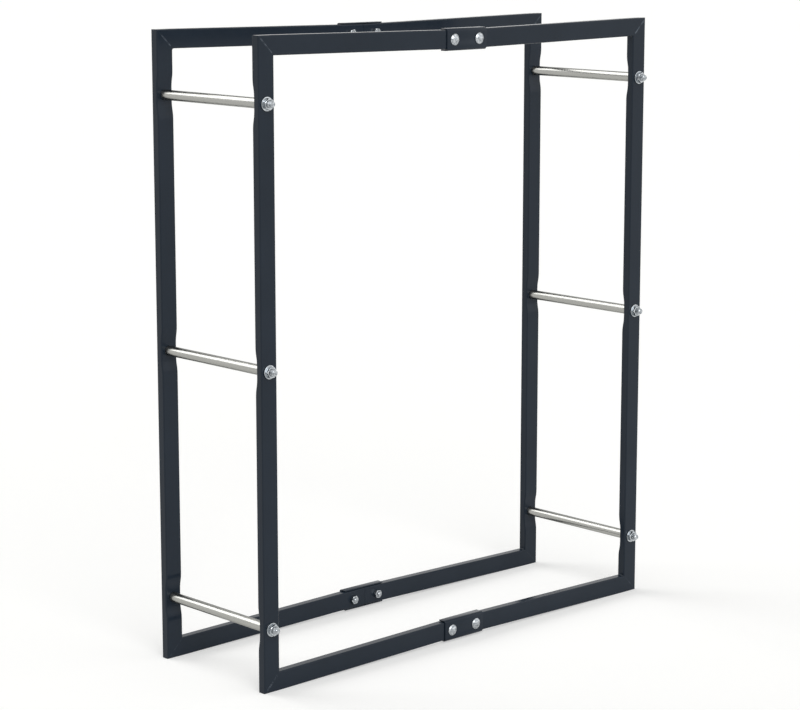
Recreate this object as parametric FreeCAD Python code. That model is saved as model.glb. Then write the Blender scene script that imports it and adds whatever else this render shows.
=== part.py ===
# Firewood rack: two upright rectangular frames of flat steel tube, held apart by six cross rods.
# Each frame is two welded U-shaped halves, butted at mid-width and joined there by folded
# U-channel connectors with mushroom-head bolts. Each cross rod is a tube with a long bolt of the
# same kind through it: the head is on the back frame, a nut on a washer draws it tight on the
# front frame, and the ends of the tube press the uprights' inner walls in.
# Millimetres. X runs along the rack's width, Y from the front frame to the back frame, Z up.
# The origin is on the floor, at the middle of the footprint.
import FreeCAD, Part
import math
import os

Vector = FreeCAD.Vector

# Whole rack
rack_height = 1000.0
rack_width = 850.0
rack_depth = 256.0            # over the outer faces of the two frames

# Frame tube
tube_face = 30.0              # the side seen from the front
tube_depth = 15.0             # the side seen from the end of the rack
tube_wall = 1.0
tube_corner = 2.0             # outside radius of the tube's long edges
tube_inner_corner = 1.0       # radius of the bore's long edges
rail_lean = 5.5               # every rail leans towards the middle of its frame by this much at the seam
seam_gap = 0.4                # between the square ends of two half rails

# Cross rods: one low, one at mid-height and one high, on each side of the rack
rod_diameter = 16.0
rod_wall = 1.5
rod_edge = 0.6                # chamfer round each end
rod_inset = 100.0             # of the low rod from the floor, and of the high rod from the top

# Dents that the rods' ends press into the uprights
dent_depth = 3.2
dent_seat = 20.0              # flat length under the rod's end
dent_slope = 28.0             # length of the smooth slope above and below the seat

# Long bolts of the cross rods, with washers and low nuts
rod_bolt_diameter = 10.0
rod_bolt_head_diameter = 22.0
rod_bolt_head_height = 5.0
rod_bolt_head_rim = 1.1       # straight edge under the dome
rod_bolt_neck = 5.0           # length of the square neck under the head
rod_bolt_point = 1.2          # chamfer at the bolt's end
rod_bolt_reach = 15.0         # how far the bolt stands out of the front upright
washer_diameter = 21.5
washer_thickness = 2.0
washer_edge = 0.4             # chamfer round the washer's outer side
rod_nut_flats = 16.0
rod_nut_height = 6.0

# Folded connectors
connector_sheet = 2.0
connector_clearance = 0.2     # above and below the rails, where they are nearest
connector_setback = 2.0       # of the flanges' edges from the rail's inner face
connector_margin = 16.0       # from a bolt to the connector's end
bolt_spacing = 54.0

# Short bolts and nuts of the connectors
bolt_diameter = 8.0
bolt_head_diameter = 18.5
bolt_head_height = 4.6
bolt_head_rim = 1.0
bolt_point = 1.0
bolt_tip = 3.0                # how far the bolt stands out of its nut
nut_flats = 13.0
nut_height = 6.5

# All bolts and nuts
bolt_clearance = 0.3          # round a shank or a square neck, in its hole
thread_clearance = 0.1        # between a nut's bore and the thread in it
countersink = 0.8             # of the bore, at both faces
nut_chamfer = 30.0            # of the hexagon's corners, in degrees
nut_land = 0.95               # round land on a nut's face, as a share of its flats
nut_turn = 25.0               # each nut stops at another angle: degrees from one nut to the next

# Places that several pieces share, on the front frame
outer_face = -rack_depth / 2
inner_face = outer_face + tube_depth
left_side = -rack_width / 2
bend = left_side + tube_face                      # a rail starts to lean just past its mitre
lean = math.atan2(rail_lean, -bend)
upright_middle = left_side + tube_face / 2
rod_heights = {"bottom": rod_inset, "middle": rack_height / 2, "top": rack_height - rod_inset}
rod_seat = inner_face - dent_depth                # end of a cross rod, on the seat of its dent
bolt_x = -bolt_spacing / 2
spare = tube_face                                 # how far cutting shapes run past what they cut


def rail_height(x):
    """Height of the bottom rail's centre line at x, from the bend to the seam."""
    return tube_face / 2 + (x - bend) * math.tan(lean)


def outline(points):
    return Part.makePolygon(points + points[:1]).Edges


def extruded(edges, along):
    return Part.Face(Part.Wire(edges)).extrude(along)


def turned(edges):
    """A solid turned about Z from edges in the XZ plane."""
    return Part.Face(Part.Wire(edges)).revolve(Vector(0, 0, 0), Vector(0, 0, 1), 360)


def profile(points):
    """Straight edges in the XZ plane through (radius, height) points, for turning."""
    return outline([Vector(radius, 0, height) for radius, height in points])


def stood(shape, point, direction, turn=0.0):
    """A shape made along +Z, turned about itself, aimed in a direction and moved to a point."""
    placed = shape.copy()
    aim = FreeCAD.Rotation(Vector(0, 0, 1), direction)
    placed.Placement = FreeCAD.Placement(point, aim * FreeCAD.Rotation(Vector(0, 0, 1), turn))
    return placed


def mirrored(shape, side="left", frame="front", level="bottom"):
    """The left, front, bottom shape brought to another side, frame or level of the rack."""
    if side == "right":
        shape = shape.mirror(Vector(0, 0, 0), Vector(1, 0, 0))
    if frame == "back":
        shape = shape.mirror(Vector(0, 0, 0), Vector(0, 1, 0))
    if level == "top":
        shape = shape.mirror(Vector(0, 0, rack_height / 2), Vector(0, 0, 1))
    return shape


def square_hole(x, height, diameter):
    """Cutter for a bolt's square neck, through all that lies on the outer side of the tube."""
    side = diameter + 2 * bolt_clearance
    corner = Vector(x - side / 2, outer_face - spare, height - side / 2)
    return Part.makeBox(side, spare + tube_depth / 2, side, corner)


def shank_hole(x, height, diameter):
    """Cutter for a bolt's round shank, through both walls of the tube."""
    start = Vector(x, outer_face - spare, height)
    radius = diameter / 2 + bolt_clearance
    return Part.makeCylinder(radius, tube_depth + 2 * spare, start, Vector(0, 1, 0))


def mitre_wedge(over):
    """All that lies over, or under, the 45 degree cut through the bottom left corner."""
    near, far = -spare, tube_face + spare
    third = (near, far) if over else (far, near)
    corners = [Vector(left_side + x, 0, z) for x, z in ((near, near), third, (far, far))]
    wedge = extruded(outline(corners), Vector(0, tube_depth + 2 * spare, 0))
    wedge.translate(Vector(0, outer_face - spare, 0))
    return wedge


def arc(centre, radius, first, last):
    """Arc in the YZ plane between two angles, measured from +Y towards +Z."""
    points = []
    for angle in (first, (first + last) / 2, last):
        points.append(centre + Vector(0, math.cos(angle), math.sin(angle)) * radius)
    return Part.Arc(*points).toShape()


# Uprights. Seen from the side, the outer wall is straight, and at each rod the inner wall sinks
# through two tangent arcs to the flat seat of the rod's end, and rises again below it.
dent_angle = 2 * math.atan2(dent_depth, dent_slope)
dent_radius = dent_slope / (2 * math.sin(dent_angle))


def dent_edges(rod_height, walls_in):
    """Edges of one dent from its upper end down, on the wall's outside or moved in."""
    seat_top, seat_foot = rod_height + dent_seat / 2, rod_height - dent_seat / 2
    brow_y, brow_radius = inner_face - dent_radius, dent_radius - walls_in
    sole_y, sole_radius = rod_seat + dent_radius, dent_radius + walls_in
    seat_y = rod_seat - walls_in
    return [
        arc(Vector(0, brow_y, seat_top + dent_slope), brow_radius, 0, -dent_angle),
        arc(Vector(0, sole_y, seat_top), sole_radius, math.pi - dent_angle, math.pi),
        Part.makeLine(Vector(0, seat_y, seat_top), Vector(0, seat_y, seat_foot)),
        arc(Vector(0, sole_y, seat_foot), sole_radius, math.pi, math.pi + dent_angle),
        arc(Vector(0, brow_y, seat_foot - dent_slope), brow_radius, dent_angle, 0),
    ]


def upright_form(walls_in, corner):
    """The dented upright at full height as a solid, with its walls moved in by a distance."""
    front, back = outer_face + walls_in, inner_face - walls_in
    last = Vector(0, back, rack_height)
    edges = []
    for rod_height in sorted(rod_heights.values(), reverse=True):
        dent = dent_edges(rod_height, walls_in)
        edges.append(Part.makeLine(last, dent[0].firstVertex(True).Point))
        edges.extend(dent)
        last = dent[-1].lastVertex(True).Point
    rest = [last, Vector(0, back, 0), Vector(0, front, 0), Vector(0, front, rack_height)]
    rest.append(Vector(0, back, rack_height))
    edges.extend(Part.makeLine(start, end) for start, end in zip(rest, rest[1:]))
    form = extruded(edges, Vector(tube_face - 2 * walls_in, 0, 0))
    form.translate(Vector(left_side + walls_in, 0, 0))
    long_edges = [edge for edge in form.Edges if edge.BoundBox.ZLength > dent_depth]
    return form.makeFillet(corner, long_edges)


upright = upright_form(0, tube_corner).cut(upright_form(tube_wall, tube_inner_corner))
for level in ("bottom", "top"):
    upright = upright.cut(mirrored(mitre_wedge(over=False), level=level))
for rod_height in rod_heights.values():
    upright = upright.cut(square_hole(upright_middle, rod_height, rod_bolt_diameter))
    upright = upright.cut(shank_hole(upright_middle, rod_height, rod_bolt_diameter))


# Half rails. The tube follows a centre line that is level in the mitred corner and then leans to
# the seam, so that the rack stands on its corners and the bottom connectors clear the floor.
def rail_form(walls_in, corner):
    """The bottom left rail as a solid past its mitre and the seam, with its walls moved in."""
    inset = walls_in + corner
    middle = (outer_face + inner_face) / 2
    first = Vector(left_side - spare, middle, tube_face / 2)
    core = Part.makePlane(
        tube_depth - 2 * inset,
        tube_face - 2 * inset,
        Vector(first.x, outer_face + inset, inset),
        Vector(1, 0, 0),
        Vector(0, 1, 0),
    )
    section = core.makeOffset2D(corner).OuterWire
    last = Vector(spare, middle, rail_height(spare))
    path = Part.makePolygon([first, Vector(bend, middle, tube_face / 2), last])
    right_corner = 1
    return path.makePipeShell([section], True, False, right_corner)


bolt_height = rail_height(bolt_x)
seam_side = Part.makeBox(
    2 * spare, tube_depth + 2 * spare, tube_face + rail_lean + 2 * spare,
    Vector(-seam_gap / 2, outer_face - spare, -spare),
)
rail = rail_form(0, tube_corner).cut(rail_form(tube_wall, tube_inner_corner))
rail = rail.cut(mitre_wedge(over=True)).cut(seam_side)
rail = rail.cut(square_hole(bolt_x, bolt_height, bolt_diameter))
rail = rail.cut(shank_hole(bolt_x, bolt_height, bolt_diameter))


# Connectors. A strip of sheet folded to a U round the two rails: its web lies on the outer face
# and its flanges reach over and under, with room for the rails' lean.
def channel_form(sheet_out, corner, y_end):
    """The space inside the fold, or the fold's outside, with the two bends along X rounded."""
    half_length = bolt_spacing / 2 + connector_margin
    half_rail = tube_face / 2 / math.cos(lean)
    low = rail_height(-half_length) - half_rail - connector_clearance - sheet_out
    high = rail_height(0) + half_rail + connector_clearance + sheet_out
    web = outer_face - sheet_out
    block = Part.makeBox(2 * half_length, y_end - web, high - low, Vector(-half_length, web, low))
    along = [edge for edge in block.Edges if edge.BoundBox.XLength > half_length]
    bends = [edge for edge in along if edge.CenterOfMass.y < outer_face + corner]
    return block.makeFillet(corner, bends)


connector = channel_form(connector_sheet, tube_corner + connector_sheet, inner_face - connector_setback)
connector = connector.cut(channel_form(0, tube_corner, inner_face + spare))
for x in (bolt_x, -bolt_x):
    connector = connector.cut(square_hole(x, bolt_height, bolt_diameter))


# Bolts, made along Z with the seat of the head at height 0 and the shank below it.
def mushroom_head(diameter, height, rim):
    rise = height - rim
    dome_radius = ((diameter / 2) ** 2 + rise ** 2) / (2 * rise)
    half_dome = math.asin(diameter / 2 / dome_radius) / 2
    middle_height = height - dome_radius * (1 - math.cos(half_dome))
    dome_middle = Vector(dome_radius * math.sin(half_dome), 0, middle_height)
    seat, rim_foot = Vector(0, 0, 0), Vector(diameter / 2, 0, 0)
    rim_top, crown = Vector(diameter / 2, 0, rim), Vector(0, 0, height)
    return turned([
        Part.makeLine(seat, rim_foot),
        Part.makeLine(rim_foot, rim_top),
        Part.Arc(rim_top, dome_middle, crown).toShape(),
        Part.makeLine(crown, seat),
    ])


def mushroom_bolt(head, diameter, neck_length, length, point):
    shank = turned(profile([
        (0, 0),
        (diameter / 2, 0),
        (diameter / 2, point - length),
        (diameter / 2 - point, -length),
        (0, -length),
    ]))
    corner = Vector(-diameter / 2, -diameter / 2, -neck_length)
    neck = Part.makeBox(diameter, diameter, neck_length, corner)
    return head.fuse([shank, neck]).removeSplitter()


bolt = mushroom_bolt(
    mushroom_head(bolt_head_diameter, bolt_head_height, bolt_head_rim),
    bolt_diameter,
    connector_sheet + tube_wall,
    connector_sheet + tube_depth + nut_height + bolt_tip,
    bolt_point,
)
rod_bolt = mushroom_bolt(
    mushroom_head(rod_bolt_head_diameter, rod_bolt_head_height, rod_bolt_head_rim),
    rod_bolt_diameter,
    rod_bolt_neck,
    rack_depth + rod_bolt_reach,
    rod_bolt_point,
)


# Nuts, made along Z from the face that they seat on. The hexagon's corners are turned down by a
# cone at both faces, and so is the mouth of the bore.
def hex_nut(flats, height, thread_diameter):
    points = []
    for corner in range(6):
        angle = math.radians(60 * corner)
        points.append(Vector(math.cos(angle), math.sin(angle), 0) * (flats / math.sqrt(3)))
    land = flats / 2 * nut_land
    drop = (flats - land) * math.tan(math.radians(nut_chamfer))
    bore = thread_diameter / 2 + thread_clearance
    blank = turned(profile([
        (bore, countersink),
        (bore + countersink, 0),
        (land, 0),
        (flats, drop),
        (flats, height - drop),
        (land, height),
        (bore + countersink, height),
        (bore, height - countersink),
    ]))
    return extruded(outline(points), Vector(0, 0, height)).common(blank)


nut = hex_nut(nut_flats, nut_height, bolt_diameter)
rod_nut = hex_nut(rod_nut_flats, rod_nut_height, rod_bolt_diameter)


# Washers of the cross rods, made along Z from the face on the upright.
washer_radius = washer_diameter / 2
washer_bore = rod_bolt_diameter / 2 + bolt_clearance
washer = turned(profile([
    (washer_bore, 0),
    (washer_radius, 0),
    (washer_radius, washer_thickness - washer_edge),
    (washer_radius - washer_edge, washer_thickness),
    (washer_bore, washer_thickness),
]))


# Cross rods, made along Z about their middle: round tube, with the outer edge of each end broken.
rod_radius = rod_diameter / 2
rod_bore = rod_radius - rod_wall
rod = turned(profile([
    (rod_bore, rod_seat),
    (rod_radius - rod_edge, rod_seat),
    (rod_radius, rod_seat + rod_edge),
    (rod_radius, -rod_seat - rod_edge),
    (rod_radius - rod_edge, -rod_seat),
    (rod_bore, -rod_seat),
]))


# The pieces in their places
outward = Vector(0, -1, 0)
bolt_seat = Vector(bolt_x, outer_face - connector_sheet, bolt_height)
nut_seat = Vector(bolt_x, inner_face, bolt_height)
nodes = {}
for frame in ("front", "back"):
    for level in ("bottom", "top"):
        nodes[f"{frame}_{level}_connector"] = mirrored(connector, "left", frame, level)
    for side in ("left", "right"):
        nodes[f"{frame}_{side}_upright"] = mirrored(upright, side, frame)
        for level in ("bottom", "top"):
            corner = f"{frame}_{side}_{level}"
            turn = nut_turn * len(nodes)
            placed_bolt = stood(bolt, bolt_seat, outward)
            placed_nut = stood(nut, nut_seat, -outward, turn)
            nodes[f"{corner}_rail"] = mirrored(rail, side, frame, level)
            nodes[f"{corner}_bolt"] = mirrored(placed_bolt, side, frame, level)
            nodes[f"{corner}_nut"] = mirrored(placed_nut, side, frame, level)
for side in ("left", "right"):
    for level, height in rod_heights.items():
        front_seat = Vector(upright_middle, outer_face, height)
        back_seat = Vector(upright_middle, -outer_face, height)
        on_washer = front_seat + outward * washer_thickness
        turn = nut_turn * len(nodes)
        placed_rod = stood(rod, Vector(upright_middle, 0, height), outward)
        placed_bolt = stood(rod_bolt, back_seat, -outward)
        placed_washer = stood(washer, front_seat, outward)
        placed_nut = stood(rod_nut, on_washer, outward, turn)
        nodes[f"{side}_{level}_rod"] = mirrored(placed_rod, side)
        nodes[f"{side}_{level}_rod_bolt"] = mirrored(placed_bolt, side)
        nodes[f"front_{side}_{level}_rod_washer"] = mirrored(placed_washer, side)
        nodes[f"front_{side}_{level}_rod_nut"] = mirrored(placed_nut, side)

os.makedirs("parts", exist_ok=True)
for name, shape in nodes.items():
    shape.exportStep(f"parts/{name}.step")
    print(f"{name}: {len(shape.Solids)} solids, {shape.Volume:.0f} mm3, valid {shape.isValid()}")
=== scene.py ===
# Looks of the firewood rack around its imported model: powder-coated tube frames with dressed welds,
# folded connectors, zinc-plated bolts, nuts and cross rods, on a pale studio floor.
import bmesh
import bpy
import math
import random
from mathutils import Matrix, Vector, noise


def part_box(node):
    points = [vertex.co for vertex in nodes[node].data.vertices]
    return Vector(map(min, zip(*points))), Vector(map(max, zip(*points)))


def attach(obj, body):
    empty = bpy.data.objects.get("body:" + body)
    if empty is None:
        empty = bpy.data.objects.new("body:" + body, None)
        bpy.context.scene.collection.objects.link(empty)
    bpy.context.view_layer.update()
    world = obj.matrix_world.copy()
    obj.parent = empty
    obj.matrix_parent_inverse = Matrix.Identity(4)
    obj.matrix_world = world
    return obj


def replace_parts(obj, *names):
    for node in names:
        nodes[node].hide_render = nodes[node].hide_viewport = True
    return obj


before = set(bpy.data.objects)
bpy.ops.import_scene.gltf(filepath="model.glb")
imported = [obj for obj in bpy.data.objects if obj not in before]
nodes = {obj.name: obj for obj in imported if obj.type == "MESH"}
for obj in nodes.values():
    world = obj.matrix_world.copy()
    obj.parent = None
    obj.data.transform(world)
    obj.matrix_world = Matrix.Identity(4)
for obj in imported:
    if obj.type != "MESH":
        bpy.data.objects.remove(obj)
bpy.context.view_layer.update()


# Frame tubes. Uprights and half rails of flat steel tube, mitred at the corners and welded into
# U-shaped halves. The halves are sprayed with dry powder and baked, so one satin skin covers the
# tubes and their dents. Their shapes are the model's own, and only the skin is made here.
mm = 0.001
coat_deep = "#1b242e"
coat_light = "#232d39"
coat_cloud = 90 * mm       # size of the slow changes of tone
gloss_patch = 18 * mm      # size of the patches that are a little more or less glossy
coat_rough = (0.13, 0.23)  # from the glossiest patches to the dullest
coat_specular = 0.18       # satin, so less than the 0.5 of a gloss paint
peel_grain = 2.4 * mm      # orange peel is finer, about 1 mm, and is drawn coarser so that it shows
peel_depth = 0.035 * mm


def linear(colour):
    """An sRGB hex colour as linear red, green, blue and alpha."""
    shares = [int(colour[place:place + 2], 16) / 255 for place in (1, 3, 5)]
    return [s / 12.92 if s <= 0.04045 else ((s + 0.055) / 1.055) ** 2.4 for s in shares] + [1.0]


def add_node(tree, kind, inputs, **settings):
    """Adds a shader node. Each input is given a value, or the socket that feeds it."""
    made = tree.nodes.new("ShaderNode" + kind)
    for name, value in settings.items():
        setattr(made, name, value)
    for name, value in inputs.items():
        if isinstance(value, bpy.types.NodeSocket):
            tree.links.new(value, made.inputs[name])
        else:
            made.inputs[name].default_value = value
    return made


def new_finish(name, **sockets):
    """A material with its shader's plain sockets set: returns it, its tree, shader and coordinates."""
    finish = bpy.data.materials.new(name)
    finish.use_nodes = True
    shader = finish.node_tree.nodes["Principled BSDF"]
    for socket, value in sockets.items():
        shader.inputs[socket.replace("_", " ")].default_value = value
    place = add_node(finish.node_tree, "TexCoord", {}).outputs["Object"]
    return finish, finish.node_tree, shader, place


def link_finish(tree, shader, tone, gloss, relief):
    """Gives a shader the tone, roughness and relief that a finish's last nodes work out."""
    tree.links.new(tone.outputs[2], shader.inputs["Base Color"])
    tree.links.new(gloss.outputs["Result"], shader.inputs["Roughness"])
    tree.links.new(relief.outputs["Normal"], shader.inputs["Normal"])


# Powder coat: a satin anthracite with a blue cast. It gives the eye soft broad highlights, a faint
# orange peel, and tone and gloss that drift slowly along the tubes. A Mix node of colours takes its
# share at socket 0 and the two colours at 6 and 7, and gives the mixture at output 2.
powder_coat, tree, shader, place = new_finish("satin_powder_coat", Specular_IOR_Level=coat_specular)
cloud = add_node(tree, "TexNoise", {"Vector": place, "Scale": 1 / coat_cloud, "Detail": 3})
tone = add_node(
    tree, "Mix", {0: cloud.outputs["Fac"], 6: linear(coat_deep), 7: linear(coat_light)},
    data_type="RGBA",
)
patch = add_node(tree, "TexNoise", {"Vector": place, "Scale": 1 / gloss_patch, "Detail": 2})
gloss = add_node(tree, "MapRange", {
    "Value": patch.outputs["Fac"], "To Min": coat_rough[0], "To Max": coat_rough[1],
})
peel = add_node(tree, "TexNoise", {"Vector": place, "Scale": 1 / peel_grain, "Detail": 2})
relief = add_node(tree, "Bump", {"Height": peel.outputs["Fac"], "Distance": peel_depth})
link_finish(tree, shader, tone, gloss, relief)

for name, node in nodes.items():
    if name.endswith(("_upright", "_rail")):
        node.material_slots[0].material = powder_coat


# Welds. The mitres are welded all round and dressed with a grinder before coating. What is left is a
# low rippled ridge along each mitre on both faces, broken where it is ground off, and a fillet in
# the inner corner of the frame, which is fuller where the bead was left standing.
ridge_width = 3.6 * mm
ridge_height = 0.7 * mm
# Shares of that height: what the grinder left at each corner, which is 1 where none is given, then
# the mean along a ridge, its lowest dip under the face, its ripples and the rough corner's lumps.
height_left = {
    "front_left_top": 1.3, "front_right_top": 1.6,
    "front_left_bottom": 0.55, "front_right_bottom": 0.4,
    "back_left_bottom": 0.25, "back_right_bottom": 0.25,
}
ridge_mean = 0.4
ridge_lowest = -0.3
ripple_depth = 0.3
lump_height = 2.6
ridge_patch = 6 * mm       # size of the lengths that are left standing or ground off
ridge_ripple = 2.8 * mm    # from one ripple of the bead to the next
rough_corner = "front_left_bottom"
rough_width = 5.5 * mm     # of the wider, lumpy bead at that corner
lump_size = 1.6 * mm
ridge_step = 0.3 * mm      # from one point of the mesh to the next
ridge_sink = 0.04 * mm     # how far a ridge's edges lie under the face
ridge_root = 0.3 * mm      # how far the weld reaches into the wall below the ridge
# Painted highlight: the lighter tone that the crests of the weld ridges are mixed towards.
ridge_highlight_tone = "#525c67"
tube_corner = 2 * mm       # radius of the tubes' long edges, which the ridges stop short of
fillet_leg = 1.0 * mm
full_fillets = {"back_left_top": 4.0 * mm, "back_right_top": 2.8 * mm, "front_right_top": 2.8 * mm}
fillet_facets = 6          # across its hollow face
fillet_sink = 0.5 * mm     # how far the weld reaches into the walls behind it
fillet_ripple = 1.3 * mm   # from one ripple of the bead to the next
fillet_swell = 0.12        # how much each ripple grows or shrinks the bead, as a share of its size
crease = math.radians(35)  # edges that turn more than this look sharp
draw = random.Random(11)


def lay_ridge(bm, start, end, outward, width, share_left, lumpiness):
    """Lays a low strip of weld metal along a mitre, which dips under the face where it is ground off.

    The crest layer keeps how much is left at each point, and also sets the painted highlight on the
    crests.
    """
    along = end - start
    across = outward.cross(along).normalized()
    seed = draw.uniform(0, 100)
    crest = bm.verts.layers.float["crest"]
    steps, rows = round(along.length / ridge_step), round(width / ridge_step)
    strip = bmesh.ops.create_grid(bm, x_segments=steps, y_segments=rows, size=1.0)["verts"]
    for vert in strip:
        share, side = (vert.co.x + 1) / 2, vert.co.y
        run, off = share * along.length, side * width / 2
        patch = noise.noise((seed, run / ridge_patch, 0))
        ripple = math.cos(2 * math.pi * (run / ridge_ripple - side * side / 2))
        lump = noise.noise((seed, run / lump_size, off / lump_size))
        height = ridge_mean + patch + ripple_depth * ripple + lumpiness * lump
        level_ends = 1 - (2 * share - 1) ** 8
        swell = (1 + math.cos(math.pi * side)) / 2 * level_ends
        vert[crest] = max(ridge_lowest, share_left * height) * swell
        rise = ridge_height * vert[crest] - ridge_sink
        vert.co = start + along * share + across * off + outward * rise
    faces = list({face for vert in strip for face in vert.link_faces})
    bm.normal_update()
    bmesh.ops.solidify(bm, geom=faces, thickness=ridge_root)


def face_outwards(bm):
    """Turns every face of one closed shell outwards."""
    bmesh.ops.recalc_face_normals(bm, faces=bm.faces)
    if bm.calc_volume(signed=True) < 0:
        bmesh.ops.reverse_faces(bm, faces=bm.faces)


def lay_fillet(bm, corner, across, up, depth, leg):
    """Fills an inner corner with a hollow bead that runs through the depth of the tube."""
    points = [(-fillet_sink, -fillet_sink), (leg, -fillet_sink)]
    for turn in range(fillet_facets + 1):
        angle = math.radians(270 - 90 * turn / fillet_facets)
        points.append((leg * (1 + math.cos(angle)), leg * (1 + math.sin(angle))))
    points.append((-fillet_sink, leg))
    ring = [bm.verts.new(corner + across * a + up * b) for a, b in points]
    section = bm.faces.new(ring)
    ripples = round(depth.length / fillet_ripple)
    for ripple in range(ripples):
        grown = bmesh.ops.extrude_face_region(bm, geom=[section])["geom"]
        if ripple:
            bmesh.ops.delete(bm, geom=[section], context="FACES_ONLY")
        section = next(part for part in grown if isinstance(part, bmesh.types.BMFace))
        swell = 1 + fillet_swell * (-1) ** ripple
        bmesh.ops.translate(bm, verts=section.verts, vec=depth / ripples)
        centre = Matrix.Translation(-corner - depth * ((ripple + 1) / ripples))
        bmesh.ops.scale(bm, verts=section.verts, vec=(swell, 1, swell), space=centre)
    face_outwards(bm)


def add_piece(name, bm, finish):
    """Makes a bmesh a piece of the rack, smooth but for its sharp edges, that rides on its body."""
    mesh = bpy.data.meshes.new(name)
    bm.to_mesh(mesh)
    bm.free()
    mesh.materials.append(finish)
    mesh.shade_smooth()
    mesh.set_sharp_from_angle(angle=crease)
    piece = bpy.data.objects.new(name, mesh)
    bpy.context.scene.collection.objects.link(piece)
    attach(piece, "root")
    return piece


# Ridge highlight: the same powder coat, lighter on the crests of the ridges. This is a painted highlight
# that stands in for the glints the beads catch. It gives the eye a lighter, broken line along each mitre
# that fades into the coat beside it.
painted_highlight_coat = powder_coat.copy()
painted_highlight_coat.name = "powder_coat_with_painted_highlight"
tree = painted_highlight_coat.node_tree
shader = tree.nodes["Principled BSDF"]
full_tone = shader.inputs["Base Color"].links[0].from_socket
crest = add_node(tree, "Attribute", {}, attribute_name="crest")
tone = add_node(
    tree, "Mix", {0: crest.outputs["Fac"], 6: full_tone, 7: linear(ridge_highlight_tone)}, data_type="RGBA"
)
tree.links.new(tone.outputs[2], shader.inputs["Base Color"])

for frame_name in ("front", "back"):
    for side, across in (("left", Vector((1, 0, 0))), ("right", Vector((-1, 0, 0)))):
        low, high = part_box(f"{frame_name}_{side}_upright")
        tube_face = high.x - low.x
        tip_x = low.x if side == "left" else high.x
        for level, up in (("bottom", Vector((0, 0, 1))), ("top", Vector((0, 0, -1)))):
            corner = f"{frame_name}_{side}_{level}"
            tip = Vector((tip_x, 0, low.z if level == "bottom" else high.z))
            rough = corner == rough_corner
            width = rough_width if rough else ridge_width
            lumpiness = lump_height if rough else 0.0
            share_left = height_left.get(corner, 1.0)
            ridge_end = tube_corner + width * math.sqrt(0.5) / 2
            bm = bmesh.new()
            bm.verts.layers.float.new("crest")
            for y, outward in ((low.y, Vector((0, -1, 0))), (high.y, Vector((0, 1, 0)))):
                face = tip + Vector((0, y, 0))
                start = face + (across + up) * ridge_end
                end = face + (across + up) * (tube_face - ridge_end)
                lay_ridge(bm, start, end, outward, width, share_left, lumpiness)
            add_piece(f"{corner}_weld_ridge", bm, painted_highlight_coat)
            bm = bmesh.new()
            inner = tip + (across + up) * tube_face + Vector((0, low.y + tube_corner, 0))
            depth = Vector((0, high.y - low.y - 2 * tube_corner, 0))
            lay_fillet(bm, inner, across, up, depth, full_fillets.get(corner, fillet_leg))
            add_piece(f"{corner}_weld_fillet", bm, powder_coat)


# Connectors. Strips of 2 mm sheet folded to a U over the butted ends of two half rails, punched for
# the bolts' square necks, and powder coated with the frames. Their cut edges are broken.
edge_break = 0.35 * mm
merge_gap = 0.001 * mm           # points closer than this become one
flat_turn = math.radians(0.5)    # faces that turn less than this become one


def soften(bm, width, sharp=30):
    """Rounds off every edge where two faces meet at more than so many degrees."""
    edges = [edge for edge in bm.edges if edge.calc_face_angle(0) > math.radians(sharp)]
    bmesh.ops.bevel(
        bm, geom=edges, offset=width, offset_type="OFFSET", affect="EDGES",
        segments=3, profile=0.5, material=-1, clamp_overlap=True,
    )


for name, node in nodes.items():
    if name.endswith("_connector"):
        bm = bmesh.new()
        bm.from_mesh(node.data)
        bmesh.ops.remove_doubles(bm, verts=bm.verts, dist=merge_gap)
        bmesh.ops.dissolve_limit(bm, angle_limit=flat_turn, verts=bm.verts, edges=bm.edges)
        soften(bm, edge_break)
        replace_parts(add_piece(f"{name}_folded", bm, powder_coat), name)


# Connector bolts. Cold-headed M8 bolts with a low mushroom head, a square neck that keeps them from
# turning and a rolled thread. Two hold each connector, with their heads outside. They are zinc
# plated and unmarked.
bolt_diameter, bolt_pitch = 8 * mm, 1.25 * mm
bolt_head_radius, bolt_head_height = 9.25 * mm, 4.6 * mm
bolt_neck, bolt_thread, bolt_length = 3 * mm, 22 * mm, 26.5 * mm
head_rim = 0.22            # straight edge under the dome, as a share of the head's height
head_rounding = 0.5 * mm
dome_facets = 12           # from the rim to the top
point_share = 0.125        # chamfer at a bolt's end, as a share of its diameter
thread_depth = 0.6134      # of a metric thread, in pitches
shank_inset = 0.3          # how far the plain shank lies inside the thread's crests, in pitches
zinc_deep = "#777d83"
zinc_light = "#d0d4d7"
zinc_rough = (0.16, 0.32)  # from the deep tone to the light one
blotch_size = 3.2 * mm     # of the clouds in the plating
blotch_span = (0.3, 0.7)   # of the noise, from all deep to all light
knock_size = 2.4 * mm      # of the shallow dents that the heads get in the plating barrel
head_knock = 0.1 * mm      # depth of those dents


def turned(outline, steps=64):
    """A solid turned about Z from (radius, height) points, from axis to axis or back to the first."""
    bm = bmesh.new()
    points = [bm.verts.new((radius, 0, height)) for radius, height in outline]
    edges = [bm.edges.new(pair) for pair in zip(points, points[1:])]
    bmesh.ops.spin(
        bm, geom=points + edges, cent=(0, 0, 0), axis=(0, 0, 1),
        angle=2 * math.pi, steps=steps, use_merge=True,
    )
    bmesh.ops.remove_doubles(bm, verts=bm.verts, dist=merge_gap)
    face_outwards(bm)
    return bm


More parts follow.
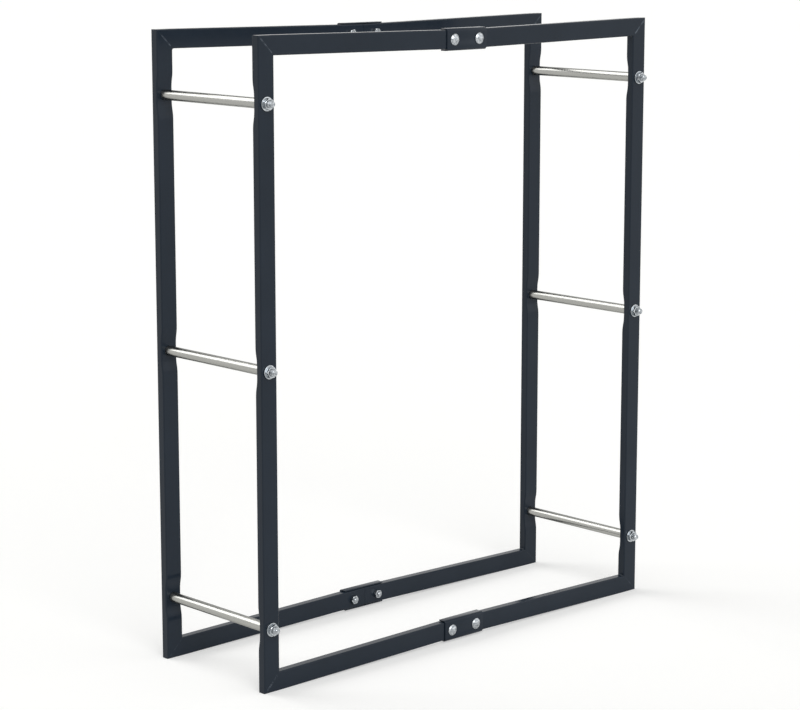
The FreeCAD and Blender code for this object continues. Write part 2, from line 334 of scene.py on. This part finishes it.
def threaded(diameter, pitch, low, high, steps=32):
    """A metric screw thread along Z between two heights, chamfered to a point at the upper end.

    One pitch of its profile, with a root a quarter and a crest an eighth of the pitch wide, is wound
    past both ends and cut off there.
    """
    crest, root = diameter / 2, diameter / 2 - thread_depth * pitch
    profile = [
        (root, 0), (root, pitch / 4), (crest, pitch * 9 / 16), (crest, pitch * 11 / 16), (root, pitch),
    ]
    bm = bmesh.new()
    points = [bm.verts.new((radius, 0, low - 2 * pitch + height)) for radius, height in profile]
    edges = [bm.edges.new(pair) for pair in zip(points, points[1:])]
    turns = math.ceil((high - low) / pitch) + 3
    bmesh.ops.spin(
        bm, geom=points + edges, cent=(0, 0, 0), axis=(0, 0, 1), dvec=(0, 0, pitch / steps),
        angle=2 * math.pi * turns, steps=turns * steps,
    )
    bmesh.ops.remove_doubles(bm, verts=bm.verts, dist=merge_gap)
    for height, outward in ((low, -1), (high, 1)):
        cut = bmesh.ops.bisect_plane(
            bm, geom=bm.verts[:] + bm.edges[:] + bm.faces[:], dist=merge_gap / 10,
            plane_co=(0, 0, height), plane_no=(0, 0, outward), clear_outer=True,
        )["geom_cut"]
        rim = [part for part in cut if isinstance(part, bmesh.types.BMEdge)]
        bmesh.ops.edgeloop_fill(bm, edges=rim)
    for vert in bm.verts:
        limit = crest - point_share * diameter + (high - vert.co.z)
        radius = vert.co.xy.length
        if radius > limit:
            vert.co.xy *= limit / radius
    face_outwards(bm)
    return bm


def joined(*parts):
    """One bmesh that holds all the parts."""
    whole = bmesh.new()
    for part in parts:
        mesh = bpy.data.meshes.new("part")
        part.to_mesh(mesh)
        part.free()
        whole.from_mesh(mesh)
        bpy.data.meshes.remove(mesh)
    return whole


def mushroom_bolt(diameter, pitch, head_radius, head_height, neck_length, thread_length, length):
    """A bolt along Z, with its head on the seat at height 0 and its shank below."""
    rise = head_height * (1 - head_rim)
    dome = (head_radius ** 2 + rise ** 2) / (2 * rise)
    outline = [(0, 0), (head_radius, 0)]
    for step in range(dome_facets + 1):
        angle = math.asin(head_radius / dome) * (1 - step / dome_facets)
        outline.append((dome * math.sin(angle), head_height - dome * (1 - math.cos(angle))))
    head = turned(outline)
    soften(head, head_rounding)
    neck = bmesh.new()
    middle = Matrix.Translation((0, 0, -neck_length / 2))
    size = Matrix.Diagonal((diameter, diameter, neck_length, 1))
    bmesh.ops.create_cube(neck, size=1.0, matrix=middle @ size)
    thread_start = length - thread_length
    radius = diameter / 2 - shank_inset * pitch
    top, end = -neck_length / 2, -thread_start - pitch
    shank = turned([(0, top), (radius, top), (radius, end), (0, end)])
    thread = threaded(diameter, pitch, thread_start, length)
    downward = Matrix.Rotation(math.pi, 3, "X")
    bmesh.ops.rotate(thread, verts=thread.verts, cent=(0, 0, 0), matrix=downward)
    return joined(head, neck, shank, thread)


def seat_under(name, outward, height):
    """The point on a node's axis that lies so far under its outermost end, towards -Y or +Y."""
    low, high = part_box(name)
    seat = (low + high) / 2
    seat.y = (high.y if outward > 0 else low.y) - outward * height
    return seat


def stand(bm, point, outward, turn=0.0):
    """Turns a part made along +Z about itself, aims it along -Y or +Y, and moves it to a point."""
    aim = Matrix.Rotation(-outward * math.radians(90), 4, "X")
    bm.transform(Matrix.Translation(point) @ aim @ Matrix.Rotation(turn, 4, "Z"))


def barrel_zinc(name, deep, light, rough, knock_depth):
    """Zinc plated in a barrel, with clouds of two tones, a range of roughness and shallow knocks."""
    finish, tree, shader, place = new_finish(name, Metallic=1.0)
    cloud = add_node(tree, "TexNoise", {"Vector": place, "Scale": 1 / blotch_size, "Detail": 3})
    blotch = add_node(tree, "MapRange", {
        "Value": cloud.outputs["Fac"], "From Min": blotch_span[0], "From Max": blotch_span[1],
    }).outputs["Result"]
    tone = add_node(tree, "Mix", {0: blotch, 6: linear(deep), 7: linear(light)}, data_type="RGBA")
    gloss = add_node(tree, "MapRange", {"Value": blotch, "To Min": rough[0], "To Max": rough[1]})
    knock = add_node(tree, "TexNoise", {"Vector": place, "Scale": 1 / knock_size, "Detail": 1})
    relief = add_node(tree, "Bump", {"Height": knock.outputs["Fac"], "Distance": knock_depth})
    link_finish(tree, shader, tone, gloss, relief)
    return finish


# Zinc on bolts: a cool silver, cloudy and knocked about in the plating barrel. It gives the eye a
# mottled head whose highlight breaks up.
bolt_zinc = barrel_zinc("zinc_on_cold_headed_steel", zinc_deep, zinc_light, zinc_rough, head_knock)

outward_of = {"front": -1, "back": 1}
short_bolt = mushroom_bolt(
    bolt_diameter, bolt_pitch, bolt_head_radius, bolt_head_height,
    bolt_neck, bolt_thread, bolt_length,
)
for name in nodes:
    if name.endswith("_bolt") and not name.endswith("_rod_bolt"):
        outward = outward_of[name.split("_")[0]]
        bm = short_bolt.copy()
        stand(bm, seat_under(name, outward, bolt_head_height), outward)
        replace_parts(add_piece(f"{name}_headed", bm, bolt_zinc), name)


# Connector nuts. Plain M8 hex nuts on the inner faces of the rails: cold-formed, chamfered on both
# sides, countersunk and zinc plated like the bolts. Each stops at its own angle.
nut_flats, nut_height = 13 * mm, 6.5 * mm
nut_land = 0.95            # round land on a nut's face, as a share of its flats
nut_chamfer = math.tan(math.radians(30))
nut_rounding = 0.18 * mm
nut_sharp = 20             # degrees, under the 30 at which a nut's chamfer meets its face
countersink = 0.8 * mm
thread_clearance = 0.1 * mm
flat_deep = "#90969b"
flat_light = "#cdd1d4"
flat_rough = (0.08, 0.18)
flat_knock = 0.015 * mm


def hex_nut(flats, height, thread_diameter, steps=72):
    """A nut along Z from its seat: a cone takes down its corners and its bore's mouth, at both faces."""
    land = flats / 2 * nut_land
    bore = thread_diameter / 2 + thread_clearance
    mouth = bore + countersink

    def rings(corner):
        """Radius and height of each ring, where the hexagon reaches so far from the axis."""
        drop = (corner - land) * nut_chamfer
        lower = [(bore, countersink), (mouth, 0), (land, 0), (corner, drop)]
        return lower + [(radius, height - z) for radius, z in reversed(lower)]

    bm = bmesh.new()
    points = bmesh.ops.create_circle(bm, segments=steps, radius=flats)["verts"]
    first = loop = bm.edges[:]
    for place in range(len(rings(land))):
        if place:
            grown = bmesh.ops.extrude_edge_only(bm, edges=loop)["geom"]
            points = [part for part in grown if isinstance(part, bmesh.types.BMVert)]
            new = set(points)
            loop = [edge for edge in bm.edges if new.issuperset(edge.verts)]
        for point in points:
            angle = math.atan2(point.co.y, point.co.x)
            from_flat = (angle % math.radians(60)) - math.radians(30)
            radius, z = rings(flats / 2 / math.cos(from_flat))[place]
            point.co = (radius * math.cos(angle), radius * math.sin(angle), z)
    bmesh.ops.bridge_loops(bm, edges=first + loop)
    face_outwards(bm)
    soften(bm, nut_rounding, sharp=nut_sharp)
    return bm


def corner_angle(node, seat, outward):
    """The angle about its axis at which a nut's node has a corner."""
    arms = [vert.co - seat for vert in node.data.vertices]
    farthest = max(arms, key=lambda arm: arm.xz.length)
    return math.atan2(-outward * farthest.z, farthest.x)


# Zinc on nuts and washers: the same plating on the smooth flats that a die or punch leaves. It gives
# the eye crisp facets, dark where they mirror the frame and bright where they mirror the room.
flat_zinc = barrel_zinc("zinc_on_formed_flats", flat_deep, flat_light, flat_rough, flat_knock)

plain_nut = hex_nut(nut_flats, nut_height, bolt_diameter)
for name, node in nodes.items():
    if name.endswith("_nut") and not name.endswith("_rod_nut"):
        inward = -outward_of[name.split("_")[0]]
        seat = seat_under(name, inward, nut_height)
        bm = plain_nut.copy()
        stand(bm, seat, inward, corner_angle(node, seat, inward))
        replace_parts(add_piece(f"{name}_formed", bm, flat_zinc), name)


# Cross rods. Lengths of drawn round tube, zinc plated, with the outer edge of each end broken. Their
# ends bear on the uprights' inner walls and press them in as the bolts through them are tightened.
rod_wall = 1.5 * mm
rod_edge = 0.6 * mm
tube_deep = "#9c9c98"
tube_light = "#b6b6b1"
tube_edge = "#c4c4c4"      # how much the metal keeps of a grazing reflection
tube_rough = (0.2, 0.34)   # from the deep tone to the light one
streak_width = 0.9 * mm    # drawing lines are finer, and are drawn coarser so that they show
streak_length = 60 * mm
streak_depth = 0.01 * mm

# Zinc on drawn tube: a warm, light grey metal with fine lines along its length. It gives the eye a
# long bright band with streaks in it, and edges that turn darker.
drawn_zinc, tree, shader, place = new_finish(
    "zinc_plated_drawn_tube", Metallic=1.0, Specular_Tint=linear(tube_edge)
)
lengthwise = add_node(
    tree, "Mapping",
    {"Vector": place, "Scale": (1 / streak_width, 1 / streak_length, 1 / streak_width)},
    vector_type="POINT",
)
lines = lengthwise.outputs["Vector"]
streak = add_node(tree, "TexNoise", {"Vector": lines, "Scale": 1.0, "Detail": 3})
tone = add_node(
    tree, "Mix", {0: streak.outputs["Fac"], 6: linear(tube_deep), 7: linear(tube_light)},
    data_type="RGBA",
)
gloss = add_node(tree, "MapRange", {
    "Value": streak.outputs["Fac"], "To Min": tube_rough[0], "To Max": tube_rough[1],
})
relief = add_node(tree, "Bump", {"Height": streak.outputs["Fac"], "Distance": streak_depth})
link_finish(tree, shader, tone, gloss, relief)

for name in nodes:
    if name.endswith("_rod"):
        low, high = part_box(name)
        radius, end = (high.x - low.x) / 2, (high.y - low.y) / 2
        bore = radius - rod_wall
        half = [(bore, end), (radius - rod_edge, end), (radius, end - rod_edge)]
        outline = half + [(at, -height) for at, height in reversed(half)]
        bm = turned(outline + half[:1])
        stand(bm, (low + high) / 2, outward_of["back"])
        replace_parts(add_piece(f"{name}_drawn", bm, drawn_zinc), name)


# Rod bolts. Long M10 bolts of the same kind, one through each cross rod and both uprights, with
# their heads on the back frame and their threads standing out of the front one.
rod_bolt_diameter, rod_bolt_pitch = 10 * mm, 1.5 * mm
rod_bolt_head_radius, rod_bolt_head_height = 11 * mm, 5 * mm
rod_bolt_neck, rod_bolt_thread, rod_bolt_length = 5 * mm, 40 * mm, 271 * mm

long_bolt = mushroom_bolt(
    rod_bolt_diameter, rod_bolt_pitch, rod_bolt_head_radius, rod_bolt_head_height,
    rod_bolt_neck, rod_bolt_thread, rod_bolt_length,
)
for name in nodes:
    if name.endswith("_rod_bolt"):
        outward = outward_of["back"]
        bm = long_bolt.copy()
        stand(bm, seat_under(name, outward, rod_bolt_head_height), outward)
        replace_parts(add_piece(f"{name}_headed", bm, bolt_zinc), name)


# Rod washers. Punched from 2 mm steel strip, with rounded edges, and zinc plated. They lie on the
# front uprights under the rods' nuts.
washer_radius, washer_thickness = 10.75 * mm, 2 * mm
washer_bore = 5.3 * mm
washer_rounding = 0.4 * mm

punched = turned([
    (washer_bore, 0), (washer_radius, 0), (washer_radius, washer_thickness),
    (washer_bore, washer_thickness), (washer_bore, 0),
])
soften(punched, washer_rounding)
for name in nodes:
    if name.endswith("_rod_washer"):
        outward = outward_of["front"]
        bm = punched.copy()
        stand(bm, seat_under(name, outward, washer_thickness), outward)
        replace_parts(add_piece(f"{name}_punched", bm, flat_zinc), name)


# Rod nuts. Low M10 hex nuts of steel, formed and plated like the connectors'. They stand on the
# washers and draw the long bolts tight.
rod_nut_flats, rod_nut_height = 16 * mm, 6 * mm

low_nut = hex_nut(rod_nut_flats, rod_nut_height, rod_bolt_diameter)
for name, node in nodes.items():
    if name.endswith("_rod_nut"):
        outward = outward_of["front"]
        seat = seat_under(name, outward, rod_nut_height)
        bm = low_nut.copy()
        stand(bm, seat, outward, corner_angle(node, seat, outward))
        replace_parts(add_piece(f"{name}_formed", bm, flat_zinc), name)


# Studio. A wide sheet of pale paper as the floor, in a white room with a darker ceiling, lit by
# three large soft lamps: one high behind the rack, one high in front of it and a weak one on the
# right. The floor and the foot of the walls show as white, and the floor keeps the soft shadow.
floor_size = 120.0
floor_grey = "#dcdcda"
floor_glow = 0.38          # what the floor adds where it is seen, so that it reads as white
room_light = 0.36          # what the room gives to the rack
room_white = (1.0, 1.0, 1.0, 1.0)
ceiling_grey = 0.7         # how bright the ceiling is beside the walls
wall_top, ceiling_edge = 0.2, 0.7    # the heights between which the room darkens, as sines

mesh = bpy.data.meshes.new("studio_floor")
bm = bmesh.new()
bmesh.ops.create_grid(bm, x_segments=1, y_segments=1, size=floor_size / 2)
bm.to_mesh(mesh)
bm.free()
floor = bpy.data.objects.new("studio_floor", mesh)
bpy.context.scene.collection.objects.link(floor)


def seen_share(tree):
    """1 for light on its way to the camera, straight, mirrored or through glass, and 0 for the rest."""
    path = add_node(tree, "LightPath", {}).outputs
    seen, mirrored, through = (path[f"Is {kind} Ray"] for kind in ("Camera", "Glossy", "Transmission"))
    part = add_node(tree, "Math", {0: seen, 1: mirrored}, operation="ADD").outputs[0]
    whole = add_node(tree, "Math", {0: part, 1: through}, operation="ADD", use_clamp=True)
    return whole.outputs[0]


# Studio paper: matt and pale, with a glow only where it is seen. It gives the eye a white ground
# that keeps a soft grey shadow.
paper = bpy.data.materials.new("matt_studio_paper")
paper.use_nodes = True
tree = paper.node_tree
tree.nodes.remove(tree.nodes["Principled BSDF"])
matt = add_node(tree, "BsdfDiffuse", {"Color": linear(floor_grey)})
share = add_node(tree, "Math", {0: seen_share(tree), 1: floor_glow}, operation="MULTIPLY")
glow = add_node(tree, "Emission", {"Strength": share.outputs[0]})
both = add_node(tree, "AddShader", {0: matt.outputs[0], 1: glow.outputs[0]})
tree.links.new(both.outputs[0], tree.nodes["Material Output"].inputs["Surface"])
mesh.materials.append(paper)

room = bpy.data.worlds.new("white_room")
bpy.context.scene.world = room
room.use_nodes = True
tree = room.node_tree
tree.nodes.remove(tree.nodes["Background"])
towards = add_node(tree, "SeparateXYZ", {0: add_node(tree, "TexCoord", {}).outputs["Generated"]})
height = add_node(tree, "MapRange", {
    "Value": towards.outputs["Z"],
    "From Min": wall_top, "From Max": ceiling_edge, "To Min": 1.0, "To Max": ceiling_grey,
})
walls = add_node(tree, "Background", {"Color": room_white, "Strength": height.outputs["Result"]})
soft = add_node(tree, "Background", {"Color": room_white, "Strength": room_light})
mixed = add_node(tree, "MixShader", {0: seen_share(tree), 1: soft.outputs[0], 2: walls.outputs[0]})
tree.links.new(mixed.outputs[0], tree.nodes["World Output"].inputs["Surface"])

# Each lamp has its direction as seen from the rack, its width in degrees and its strength.
for name, direction, width, strength in (
    ("back_lamp", (-0.25, 0.75, 0.62), 45, 1.3),
    ("front_lamp", (-0.30, -0.78, 0.55), 40, 1.2),
    ("right_lamp", (0.62, -0.70, 0.35), 70, 0.5),
):
    lamp = bpy.data.lights.new(name, "SUN")
    lamp.angle = math.radians(width)
    lamp.energy = strength
    holder = bpy.data.objects.new(name, lamp)
    holder.rotation_euler = Vector(direction).to_track_quat("Z", "Y").to_euler()
    bpy.context.scene.collection.objects.link(holder)


# Camera. A long lens at the photograph's place: front left of the rack, a little above its top and
# tilted down to its middle.
camera_place = (-2.6896, -2.8556, 1.1847)
tilt_down, turn_right = 10.513, 43.04    # degrees from level, and from straight at the front frame

camera = bpy.data.objects.new("camera", bpy.data.cameras.new("camera"))
camera.data.lens = 108.8
camera.data.clip_end = 200
camera.location = camera_place
camera.rotation_euler = (math.radians(90 - tilt_down), 0, math.radians(-turn_right))
bpy.context.scene.collection.objects.link(camera)
bpy.context.scene.camera = camera
bpy.context.scene.view_settings.view_transform = "Standard"
